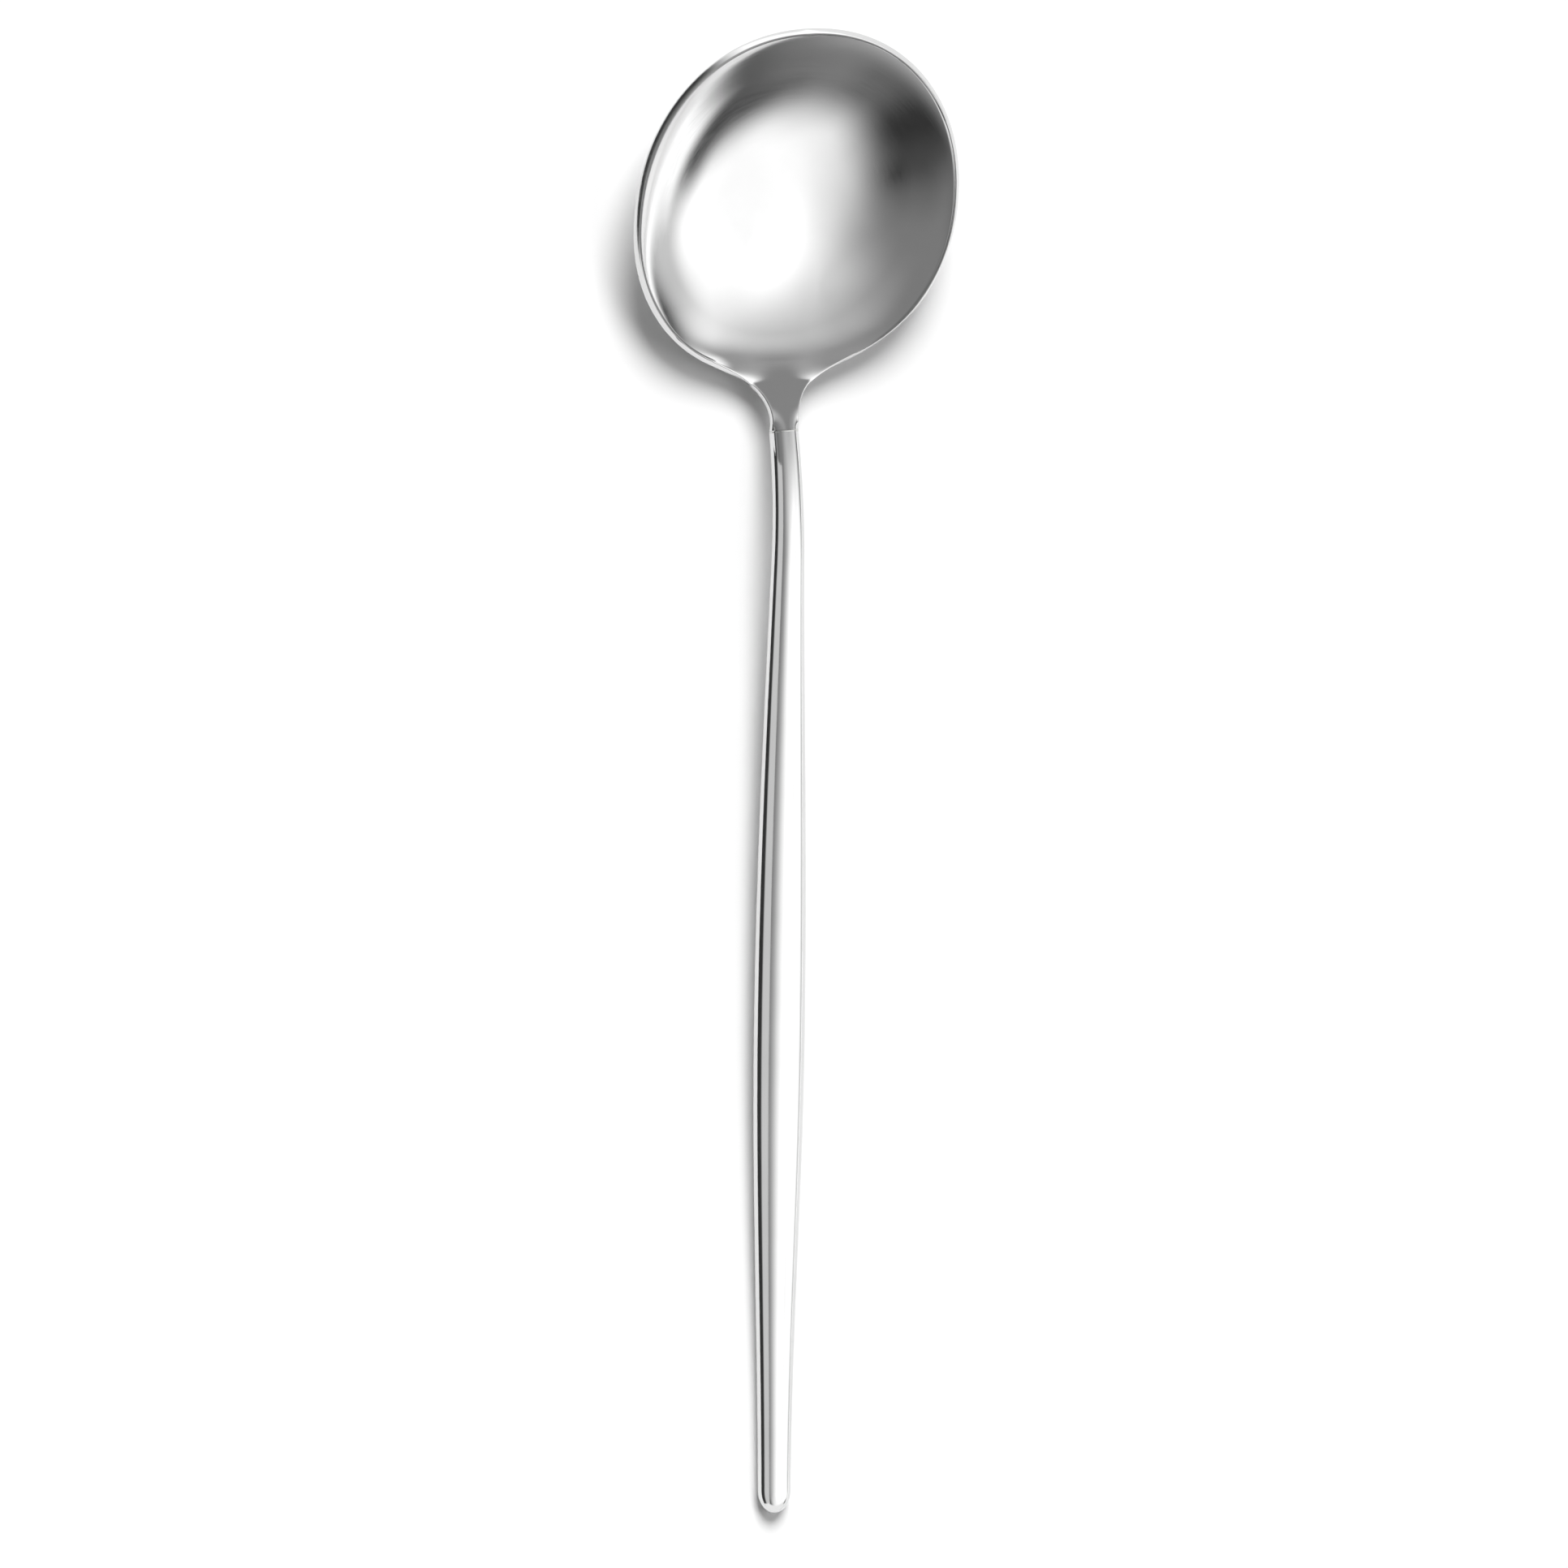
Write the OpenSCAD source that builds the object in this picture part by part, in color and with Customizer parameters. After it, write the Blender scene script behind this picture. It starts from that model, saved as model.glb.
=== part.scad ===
// Round soup spoon: a stamped bowl with a round tang, silver-soldered into a solid forged handle.
// X runs across the spoon, Y from the tip of the handle to the front of the bowl, and Z up.
// The origin is on the table, under the middle of the spoon, which lies with its hollow side up.

/* [Overall] */
// Length from the tip of the handle to the front of the bowl
spoon_l = 195; // [180:1:215]

/* [Bowl] */
// Width of the bowl over its rim
bowl_w = 44.8; // [38:0.2:50]
// From the widest line forward to the front of the rim
bowl_front_l = 23.9; // [20:0.1:28]
// From the widest line back to the heel
bowl_back_l = 22.6; // [19:0.1:26]
// Depth of the hollow below the rim, at the widest line
bowl_depth = 7.8; // [6:0.1:9.5]
// Thickness of the sheet, and of its rounded rim
sheet_t = 1.2; // [0.8:0.05:1.6]
// How much higher the rim is at the front than at the heel
rim_climb = 9; // [6:0.1:11]
// How far the rim bows up between the heel and the front
rim_bow = 0.7; // [0:0.1:1.5]
// How far the middle of the hollow lies below the line of the rim where it ends at the heel
heel_drop = 1.2; // [0.4:0.1:2]
// How far the rim sags below its line towards the heel
rim_sag = 0.8; // [0:0.1:1]
// Depth of the small flat that use has worn under the bowl
rest_cut = 0.1; // [0.05:0.01:0.2]

/* [Neck] */
// From the heel of the bowl back to the joint, along its flat top
neck_l = 6.6; // [5:0.1:9]
// How far the flat top of the neck climbs from the heel to the joint
neck_climb = 2.7; // [2:0.1:3.5]

/* [Handle] */
// Width of the handle at the joint
joint_w = 3.9; // [3.4:0.1:5]
// Thickness of the handle at the joint
joint_t = 3.3; // [3:0.1:4.2]
// Width of the handle at its widest, where it is held
grip_w = 6.9; // [6:0.1:9]
// Thickness of the handle where it is held
grip_t = 4.4; // [3.8:0.1:6]
// Width of the handle just before its rounded tip
tip_w = 4.4; // [3.6:0.1:5.6]
// Thickness of the handle just before its rounded tip
tip_t = 3.2; // [2.6:0.1:4]
// Length of the rounding at the tip
tip_round_l = 3; // [1.5:0.1:5]
// Length of the downward bend between the crest of the handle and the joint
bend_l = 16; // [12:1:24]

/* [Joint] */
// How far the face of the joint leans back, in degrees
joint_lean = 14; // [8:1:20]
// Diameter of the tang on the bowl
tang_d = 1.8; // [1.2:0.1:2]
// Length of the tang beyond the face of the neck
tang_l = 7; // [4:0.5:9]
// Clearance round the tang, on the radius
tang_gap = 0.05; // [0.02:0.01:0.1]
// Clearance past the end of the tang
tang_end_gap = 0.3; // [0.1:0.1:1]
// Thickness of the silver solder between the two faces
solder_t = 0.3; // [0.2:0.05:0.5]

/* [Hidden] */

// Stations along the spoon
front_y = spoon_l / 2;
widest_y = front_y - bowl_front_l;
heel_y = widest_y - bowl_back_l;
neck_end_y = heel_y - neck_l;
bowl_l = bowl_front_l + bowl_back_l;

// Form of the bowl: a slightly squared oval, and a hollow a little fuller than a parabola
oval_power = 2.1;
hollow_power = 2.1;
drop_power = 3;
heel_soft_share = 0.12;
sag_share = 0.44;
meet_soft_share = 0.17;

// Form of the neck: where the outline leaves the oval, how far its curve keeps each direction,
// and how the belly under its flat top rounds off
leave_turn = 63;
leave_share = 0.92;
arrive_share = 0.8;
belly_power = 0.65;
belly_soft_share = 0.08;
round_power = 5;
oval_top_angle = 60;

// Form of the handle, as shares of its length from the tip
grip_share = 0.45;
fall_power = 0.8;
arch_power = 2.1;

// Smoothness of the lofts
front_n = 15;
back_n = 16;
neck_n = 14;
row_n = front_n + back_n + neck_n;
column_n = 9;
edge_n = 4;
tip_n = 5;
bar_n = 34;
bar_sides = 28;
round_fn = 48;
probe = sheet_t / 40;
step = 0.01;
overrun = sheet_t;

// General functions
function mix(a, b, share) = a + (b - a) * share;
function ease(share) = (1 - cos(180 * min(max(share, 0), 1))) / 2;
function unit(v) = v / norm(v);
function along(v, direction) = direction * (v * direction);
function bezier(p, k) =
    p[0] * pow(1 - k, 3) + p[1] * 3 * k * pow(1 - k, 2) + p[2] * 3 * k * k * (1 - k) + p[3] * pow(k, 3);
function bezier_direction(p, k) =
    unit((p[1] - p[0]) * pow(1 - k, 2) + (p[2] - p[1]) * 2 * k * (1 - k) + (p[3] - p[2]) * k * k);

// Height of the rim over its level at the heel
function rim_line(y) =
    let (share = (y - heel_y) / bowl_l)
    rim_climb * share + rim_bow * 4 * share * (1 - share);

// Height of the middle of the sheet along the centre of the bowl, and on along the neck
function bowl_keel(y) =
    let (front = max(y - widest_y, 0) / (bowl_front_l - sheet_t / 2), back = max(widest_y - y, 0) / bowl_back_l)
    rim_line(y)
    - bowl_depth * (1 - pow(max(front, back), hollow_power))
    - heel_drop * pow(back, drop_power);
function neck_keel(y) = neck_climb * (heel_y - y) / neck_l - heel_drop;
function keel(y) =
    mix(bowl_keel(y), neck_keel(y), ease(((heel_y - y) / neck_l + heel_soft_share) / (2 * heel_soft_share)));

// Height of the middle of the sheet at the rim, which sags towards the heel and runs on past it
// until the flat top of the neck rises to meet it
function soft_max(a, b, soft) = (a + b + norm([a - b, soft])) / 2;
function edge_line(y) =
    let (sag = rim_sag * ease(1 - (y - heel_y) / (sag_share * bowl_back_l)))
    soft_max(rim_line(y) - sag, neck_keel(y), meet_soft_share * heel_drop);

// Lifts everything so that the underside of the bowl rests on the table
function keel_fall(y) = (keel(y - probe) - keel(y + probe)) / (2 * probe);
keel_n = 200;
undersides = [
    for (k = [0 : keel_n])
        let (y = mix(heel_y, widest_y, k / keel_n))
        keel(y) - sheet_t / 2 / norm([keel_fall(y), 1])
];
lift = -min(undersides) - rest_cut;

// Outline of the rim and neck: front oval, back oval, then one curve into the neck
function oval_stop(turn, length) =
    let (
        across = pow(cos(turn), 2 / oval_power),
        ahead = pow(sin(turn), 2 / oval_power)
    )
    [
        [bowl_w / 2 * across, widest_y + length * ahead],
        unit([
            pow(across, oval_power - 1) / bowl_w,
            pow(ahead, oval_power - 1) / abs(length) / 2 * sign(length)
        ])
    ];
leave_stop = oval_stop(leave_turn, -bowl_back_l);
neck_curve = [
    leave_stop[0],
    leave_stop[0] + [leave_stop[1][1], -leave_stop[1][0]] * leave_share * neck_l,
    [joint_w / 2, neck_end_y + arrive_share * neck_l],
    [joint_w / 2, neck_end_y]
];
function neck_stop(share) =
    let (direction = bezier_direction(neck_curve, share))
    [bezier(neck_curve, share), [-direction[1], direction[0]]];
function outline_stop(row) =
    row <= front_n ? oval_stop(90 * (1 - row / front_n), bowl_front_l)
    : row <= front_n + back_n ? oval_stop(leave_turn * (row - front_n) / back_n, -bowl_back_l)
    : neck_stop((row - front_n - back_n) / neck_n);

// Middle of the sheet: across goes from -1 at the left of a row to 1 at its right
function sheet_middle(row, across) =
    let (stop = outline_stop(row), edge = stop[0] - sheet_t / 2 * stop[1])
    [
        across * edge[0],
        edge[1],
        lift + mix(keel(edge[1]), edge_line(edge[1]), pow(abs(across), hollow_power))
    ];
function sheet_up(row, across) =
    let (inner = min(max(row, 2 * step), row_n - step))
    row >= row_n ? joint_up
    : unit(cross(
        sheet_middle(inner, across + step) - sheet_middle(inner, across - step),
        sheet_middle(inner - step, across) - sheet_middle(inner + step, across)
    ));

// The joint: its middle, and the direction up its leaning face
joint_up = [0, sin(joint_lean), cos(joint_lean)];
joint_middle = sheet_middle(row_n, 0) - joint_up * (joint_t - sheet_t) / 2;

// How much of the neck is passed at a row, and how deep its belly is there
function neck_share(row) = min(max((heel_y - outline_stop(row)[0][1]) / neck_l, 0), 1);
function belly(row) =
    let (share = (heel_y - outline_stop(row)[0][1]) / neck_l)
    (joint_t - sheet_t) * min(1, (share + sqrt(share * share + belly_soft_share * belly_soft_share)) / 2);

// One point of a row's loop: across goes from -1 to 1, and turn from 0 on top to 180 underneath.
// Near the joint the flat top and belly round off into the oval section of the handle.
function loop_point(row, across, turn) =
    let (
        side = across < 0 ? -1 : 1,
        stop = outline_stop(row),
        middle = sheet_middle(row, across),
        up = sheet_up(row, across),
        outward = [side * stop[1][0], stop[1][1], 0],
        out = unit(outward - along(outward, up)),
        deep = turn < 180 ? 0 : belly(row) * pow(1 - across * across, belly_power),
        flat_point = middle + sheet_t / 2 * (up * cos(turn) + out * sin(turn)) - joint_up * deep,
        swing = turn == 0 ? abs(across) * oval_top_angle
            : turn == 180 ? 180 - abs(across) * oval_top_angle
            : mix(oval_top_angle, 180 - oval_top_angle, turn / 180),
        half = (sheet_t + belly(row)) / 2,
        round_point = [side * stop[0][0] * sin(swing), middle[1], sheet_middle(row, 0)[2]]
            + joint_up * (sheet_t / 2 - half * (1 - cos(swing)))
    )
    mix(flat_point, round_point, pow(neck_share(row), round_power));

function row_loop(row) =
    [
        for (c = [-column_n : column_n]) loop_point(row, c / column_n, 0),
        for (e = [1 : edge_n - 1]) loop_point(row, 1, 180 * e / edge_n),
        for (c = [-column_n : column_n]) loop_point(row, -c / column_n, 180),
        for (e = [1 : edge_n - 1]) loop_point(row, -1, 180 * (1 - e / edge_n))
    ];

// The front of the rim is one short row, shared by both sides
function front_row() = [for (e = [0 : edge_n]) loop_point(0, 1, 180 * e / edge_n)];
loop_n = 2 * (2 * column_n + edge_n);
function front_index(i) =
    i <= 2 * column_n ? 0
    : i < 2 * column_n + edge_n ? i - 2 * column_n
    : i <= 4 * column_n + edge_n ? edge_n
    : loop_n - i;
function loop_index(row, i) =
    row == 0 ? front_index(i % loop_n) : edge_n + 1 + (row - 1) * loop_n + i % loop_n;

// Skin between two neighbouring loops, leaving out triangles that close to nothing
function skin_faces(row, i) =
    let (
        a = loop_index(row, i),
        b = loop_index(row, i + 1),
        c = loop_index(row + 1, i + 1),
        d = loop_index(row + 1, i)
    )
    a == b ? [[a, c, d]] : [[a, b, c], [a, c, d]];

// Handle: full half width and half thickness, underside, and lean, at a length from the tip
handle_end = joint_middle + solder_t * [0, -cos(joint_lean), sin(joint_lean)];
handle_l = handle_end[1] + spoon_l / 2;
function swell(tip, grip, joint, length) =
    let (share = length / handle_l)
    share < grip_share ? mix(tip, grip, ease(share / grip_share))
    : mix(joint, grip, pow(1 - ease((share - grip_share) / (1 - grip_share)), fall_power));
function half_width(length) = swell(tip_w, grip_w, joint_w, length) / 2;
function half_thickness(length) = swell(tip_t, grip_t, joint_t, length) / 2;
end_under = handle_end[2] - joint_t / 2;
arch = (end_under + tan(joint_lean) * bend_l / 2) / (1 - arch_power * bend_l / handle_l / 2);
bend_drop = arch - end_under;
function under(length) =
    arch * pow(length / handle_l, arch_power)
    - bend_drop * pow(max(length - handle_l + bend_l, 0) / bend_l, 2);
function bar_z(length) = under(length) + half_thickness(length);
function bar_lean(length) =
    length >= handle_l ? joint_lean : atan((bar_z(length - probe) - bar_z(length + probe)) / (2 * probe));

// A ring of the handle, seen from its tip; full is 1 except on the rounded tip
function bar_ring(length, full) =
    let (lean = bar_lean(length))
    [
        for (k = [0 : bar_sides - 1])
            let (turn = 360 * k / bar_sides, rise = full * half_thickness(length) * cos(turn))
            [
                full * half_width(length) * sin(turn),
                length - spoon_l / 2 + rise * sin(lean),
                bar_z(length) + rise * cos(lean)
            ]
    ];
bar_rings = [
    for (k = [1 : tip_n])
        let (turn = 90 * k / tip_n)
        bar_ring(tip_round_l * (1 - cos(turn)), sin(turn)),
    for (k = [1 : bar_n]) bar_ring(mix(tip_round_l, handle_l, k / bar_n), 1)
];
bar_ring_n = tip_n + bar_n;
function bar_index(ring, k) = 1 + ring * bar_sides + k % bar_sides;

// Stands children on the face of the neck, with Z going into the handle
module at_joint() {
    translate(joint_middle) rotate([90 - joint_lean, 0, 0]) children();
}

// Loft of the bowl's sheet, from the front of the rim to the face of the neck
module bowl_shell() {
    polyhedron(
        points = concat(front_row(), [for (row = [1 : row_n]) each row_loop(row)]),
        faces = concat(
            [for (row = [0 : row_n - 1]) for (i = [0 : loop_n - 1]) each skin_faces(row, i)],
            [[for (i = [0 : loop_n - 1]) loop_index(row_n, i)]]
        ),
        convexity = 6
    );
}

module bowl() {
    color("gainsboro") {
        difference() {
            bowl_shell();
            translate([-bowl_w / 2, heel_y, -overrun]) cube([bowl_w, bowl_l, overrun]);
        }
        at_joint() translate([0, 0, -overrun]) cylinder(h = overrun + tang_l, d = tang_d, $fn = round_fn);
    }
}

// Loft of the solid bar, from its tip to its face
module handle_bar() {
    polyhedron(
        points = concat([[0, -spoon_l / 2, bar_z(0)]], [for (ring = bar_rings) each ring]),
        faces = concat(
            [for (k = [0 : bar_sides - 1]) [0, bar_index(0, k), bar_index(0, k + 1)]],
            [
                for (ring = [0 : bar_ring_n - 2]) for (k = [0 : bar_sides - 1]) each [
                    [bar_index(ring, k), bar_index(ring + 1, k), bar_index(ring + 1, k + 1)],
                    [bar_index(ring, k), bar_index(ring + 1, k + 1), bar_index(ring, k + 1)]
                ]
            ],
            [[for (k = [bar_sides - 1 : -1 : 0]) bar_index(bar_ring_n - 1, k)]]
        ),
        convexity = 4
    );
}

module handle() {
    color("silver") difference() {
        handle_bar();
        at_joint() translate([0, 0, -overrun])
            cylinder(h = overrun + tang_l + tang_end_gap, r = tang_d / 2 + tang_gap, $fn = round_fn);
    }
}

// Thin layer of silver solder that joins the two faces round the tang
module solder_seam() {
    color("lightsteelblue") at_joint() linear_extrude(solder_t) difference() {
        polygon([
            for (k = [0 : bar_sides - 1])
                let (turn = 360 * k / bar_sides)
                [joint_w / 2 * sin(turn), joint_t / 2 * cos(turn)]
        ]);
        circle(r = tang_d / 2 + tang_gap, $fn = round_fn);
    }
}

bowl();
handle();
solder_seam();
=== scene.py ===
"""Round soup spoon: a smooth skin for each of its solids, their finishes, and a plain studio.

Lengths are in metres, in the frame of the CAD: X runs across the spoon, Y from the tip of the handle
to the front of the bowl, and Z up from the table. The lengths and curves of SpoonForm are those of
the part's source, apart from heel_soft_share, which makes the turn at the heel softer here.
"""

import contextlib
import logging
import math
from dataclasses import dataclass, field
from enum import Enum
from typing import Callable, Iterator, Sequence

import bmesh
import bpy
from mathutils import Matrix, Vector

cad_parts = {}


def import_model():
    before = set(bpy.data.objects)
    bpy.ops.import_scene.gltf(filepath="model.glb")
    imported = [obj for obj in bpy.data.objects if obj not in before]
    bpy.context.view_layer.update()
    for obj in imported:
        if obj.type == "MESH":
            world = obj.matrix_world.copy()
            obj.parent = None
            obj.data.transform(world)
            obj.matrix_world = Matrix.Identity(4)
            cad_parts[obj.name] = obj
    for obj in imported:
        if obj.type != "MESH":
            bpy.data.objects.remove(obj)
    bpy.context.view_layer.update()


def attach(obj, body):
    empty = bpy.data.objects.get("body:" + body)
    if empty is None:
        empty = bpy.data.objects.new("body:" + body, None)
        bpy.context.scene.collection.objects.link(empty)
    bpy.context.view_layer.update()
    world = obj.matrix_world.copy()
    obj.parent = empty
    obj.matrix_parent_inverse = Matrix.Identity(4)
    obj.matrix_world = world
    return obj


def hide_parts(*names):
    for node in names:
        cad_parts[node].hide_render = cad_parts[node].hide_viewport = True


LOG = logging.getLogger("soup_spoon")
BODY = "root"
STEEL_COLOUR = (0.72, 0.72, 0.72)
SOLDER_COLOUR = (0.64, 0.64, 0.63)
SOLDER_ROUGHNESS = 0.2
CREASE_ANGLE = 35.0
# Points that are closer than this become one.
MERGE_REACH = 1e-7
# Half of the short stretch over which a slope is measured.
PROBE = 3e-5
# A turn smaller than this is left out.
LEAST_TURN = 1e-9
LIFT_STEPS = 200


class Slot(Enum):
    """Material slots of the record that the pieces take their finishes from."""

    STEEL = "polished_steel"
    SOLDER = "silver_solder"


class Buffing(Enum):
    """Which way the buffing wheel ran over a piece."""

    LENGTHWISE = "lengthwise"
    ROUND_THE_BOWL = "round the bowl"


def blend(start: float, end: float, share: float) -> float:
    """Goes from start to end as share goes from 0 to 1."""
    return start + (end - start) * share


def ease(share: float) -> float:
    """Goes softly from 0 to 1 as share does, and stays level outside."""
    return (1 - math.cos(math.pi * min(max(share, 0.0), 1.0))) / 2


def choose(piece: bpy.types.Object) -> None:
    """Makes a piece the active one and the only one selected."""
    bpy.ops.object.select_all(action="DESELECT")
    piece.select_set(True)
    bpy.context.view_layer.objects.active = piece


@contextlib.contextmanager
def editing(piece: bpy.types.Object) -> Iterator[bmesh.types.BMesh]:
    """Opens a piece in edit mode.

    Args:
        piece: The piece to edit, which becomes the only one selected.

    Yields:
        The mesh being edited.
    """
    choose(piece)
    bpy.ops.object.mode_set(mode="EDIT")
    yield bmesh.from_edit_mesh(piece.data)
    bpy.ops.object.mode_set(mode="OBJECT")


def select_faces(mesh: bmesh.types.BMesh, wanted: Callable[[bmesh.types.BMFace], bool]) -> None:
    """Selects the faces that pass a test, in edit mode.

    Args:
        mesh: The mesh being edited.
        wanted: The test of one face, by its place or normal.
    """
    bpy.ops.mesh.select_mode(type="FACE")
    bpy.ops.mesh.select_all(action="DESELECT")
    for face in mesh.faces:
        if wanted(face):
            face.select_set(True)


def apply_modifiers(piece: bpy.types.Object) -> None:
    """Applies every modifier of a piece, in order."""
    choose(piece)
    for modifier in list(piece.modifiers):
        bpy.ops.object.modifier_apply(modifier=modifier.name)


def settle(piece: bpy.types.Object) -> None:
    """Puts a piece's place into its mesh, with its object at the origin, unturned and unscaled."""
    choose(piece)
    bpy.ops.object.transform_apply(location=True, rotation=True, scale=True)


def smooth(piece: bpy.types.Object) -> None:
    """Shades a piece smooth, up to edges sharper than the crease angle."""
    choose(piece)
    bpy.ops.object.shade_smooth_by_angle(angle=math.radians(CREASE_ANGLE), keep_sharp_edges=True)


@dataclass(frozen=True)
class Outline:
    """One stop along the outline of the rim, on the right of the spoon."""

    place: Vector
    outward: Vector

    def inside(self, distance: float) -> Vector:
        """The point that lies a distance in from the outline."""
        return self.place - self.outward * distance


@dataclass(frozen=True)
class SpoonForm:
    """Sizes of the spoon and the curves drawn from them, which its pieces share."""

    length: float = 0.195
    bowl_width: float = 0.0448
    bowl_front: float = 0.0239
    bowl_back: float = 0.0226
    bowl_depth: float = 0.0078
    sheet: float = 0.0012
    rim_climb: float = 0.009
    rim_bow: float = 0.0007
    heel_drop: float = 0.0012
    rim_sag: float = 0.0008
    rest_cut: float = 0.0001
    neck_length: float = 0.0066
    neck_climb: float = 0.0027
    joint_width: float = 0.0039
    joint_thickness: float = 0.0033
    joint_lean: float = math.radians(14)
    tang_width: float = 0.0018
    tang_length: float = 0.007
    tang_gap: float = 0.00005
    tang_end_gap: float = 0.0003
    solder: float = 0.0003
    grip_width: float = 0.0069
    grip_thickness: float = 0.0044
    tip_width: float = 0.0044
    tip_thickness: float = 0.0032
    tip_round: float = 0.003
    bend: float = 0.016
    oval_power: float = 2.1
    hollow_power: float = 2.1
    drop_power: float = 3
    heel_soft_share: float = 0.3
    sag_share: float = 0.44
    meet_soft_share: float = 0.17
    leave_turn: float = math.radians(63)
    leave_share: float = 0.92
    arrive_share: float = 0.8
    belly_power: float = 0.65
    belly_soft_share: float = 0.08
    round_power: float = 5
    oval_top: float = math.radians(60)
    grip_share: float = 0.45
    fall_power: float = 0.8
    arch_power: float = 2.1

    @property
    def widest_y(self) -> float:
        """Station of the widest line of the bowl."""
        return self.length / 2 - self.bowl_front

    @property
    def heel_y(self) -> float:
        """Station of the heel, where the bowl meets the neck."""
        return self.widest_y - self.bowl_back

    @property
    def joint_y(self) -> float:
        """Station of the end of the neck."""
        return self.heel_y - self.neck_length

    @property
    def joint_up(self) -> Vector:
        """Direction up the leaning face of the joint."""
        return Vector((0, math.sin(self.joint_lean), math.cos(self.joint_lean)))

    @property
    def joint_axis(self) -> Vector:
        """Direction from the neck into the handle."""
        return Vector((0, -math.cos(self.joint_lean), math.sin(self.joint_lean)))

    def rim_line(self, y: float) -> float:
        """Height of the rim over its level at the heel."""
        share = (y - self.heel_y) / (self.bowl_front + self.bowl_back)
        return self.rim_climb * share + self.rim_bow * 4 * share * (1 - share)

    def neck_keel(self, y: float) -> float:
        """Height of the middle of the flat top of the neck, over the level of the rim at the heel."""
        return self.neck_climb * (self.heel_y - y) / self.neck_length - self.heel_drop

    def keel(self, y: float) -> float:
        """Height of the middle of the sheet along the centre of the spoon.

        Args:
            y: The station.

        Returns:
            The height over the level of the rim at the heel.
        """
        front = max(y - self.widest_y, 0) / (self.bowl_front - self.sheet / 2)
        back = max(self.widest_y - y, 0) / self.bowl_back
        hollow = self.bowl_depth * (1 - max(front, back) ** self.hollow_power)
        bowl = self.rim_line(y) - hollow - self.heel_drop * back**self.drop_power
        turn = (self.heel_y - y) / self.neck_length / self.heel_soft_share
        return blend(bowl, self.neck_keel(y), ease((turn + 1) / 2))

    def edge_line(self, y: float) -> float:
        """Height of the middle of the sheet at the rim.

        Args:
            y: The station.

        Returns:
            The height. It sags towards the heel and runs on until the top of the neck meets it.
        """
        sag = ease(1 - (y - self.heel_y) / (self.sag_share * self.bowl_back))
        rim = self.rim_line(y) - self.rim_sag * sag
        neck = self.neck_keel(y)
        return (rim + neck + math.hypot(rim - neck, self.meet_soft_share * self.heel_drop)) / 2

    def find_lift(self) -> float:
        """How far everything rises so that the underside of the bowl rests on the table."""
        lowest = math.inf
        for step in range(LIFT_STEPS + 1):
            y = blend(self.heel_y, self.widest_y, step / LIFT_STEPS)
            fall = (self.keel(y - PROBE) - self.keel(y + PROBE)) / (2 * PROBE)
            lowest = min(lowest, self.keel(y) - self.sheet / 2 / math.hypot(fall, 1))
        return -lowest - self.rest_cut

    def oval_stop(self, turn: float, length: float) -> Outline:
        """A stop on the slightly squared oval of the bowl.

        Args:
            turn: Angle from the widest line, in radians.
            length: Length of that half of the oval, negative for the half towards the handle.

        Returns:
            The stop and its outward direction.
        """
        across = max(math.cos(turn), 0) ** (2 / self.oval_power)
        ahead = max(math.sin(turn), 0) ** (2 / self.oval_power)
        steep = self.oval_power - 1
        outward = Vector((across**steep / self.bowl_width, ahead**steep / length / 2))
        place = Vector((self.bowl_width / 2 * across, self.widest_y + length * ahead))
        return Outline(place, outward.normalized())

    def neck_stop(self, share: float) -> Outline:
        """A stop on the curve from the oval into the neck.

        Args:
            share: How far along the curve it is, from 0 at the oval to 1 at the joint.

        Returns:
            The stop and its outward direction.
        """
        leave = self.oval_stop(self.leave_turn, -self.bowl_back)
        onward = Vector((leave.outward.y, -leave.outward.x)) * self.leave_share * self.neck_length
        a, b = leave.place, leave.place + onward
        d = Vector((self.joint_width / 2, self.joint_y))
        c = d + Vector((0, self.arrive_share * self.neck_length))
        rest = 1 - share
        place = a * rest**3 + b * 3 * share * rest**2 + c * 3 * share**2 * rest + d * share**3
        direction = (b - a) * rest**2 + (c - b) * 2 * share * rest + (d - c) * share**2
        direction.normalize()
        return Outline(place, Vector((-direction.y, direction.x)))

    def swell(self, tip: float, grip: float, joint: float, length: float, handle: float) -> float:
        """A width or thickness along the handle, which swells to the grip and shrinks to the joint.

        Args:
            tip: The measure at the tip.
            grip: The measure where the handle is held.
            joint: The measure at the joint.
            length: Distance from the tip.
            handle: Length of the handle.

        Returns:
            The measure at that distance.
        """
        share = length / handle
        if share < self.grip_share:
            return blend(tip, grip, ease(share / self.grip_share))
        fall = 1 - ease((share - self.grip_share) / (1 - self.grip_share))
        return blend(joint, grip, fall**self.fall_power)


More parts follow.
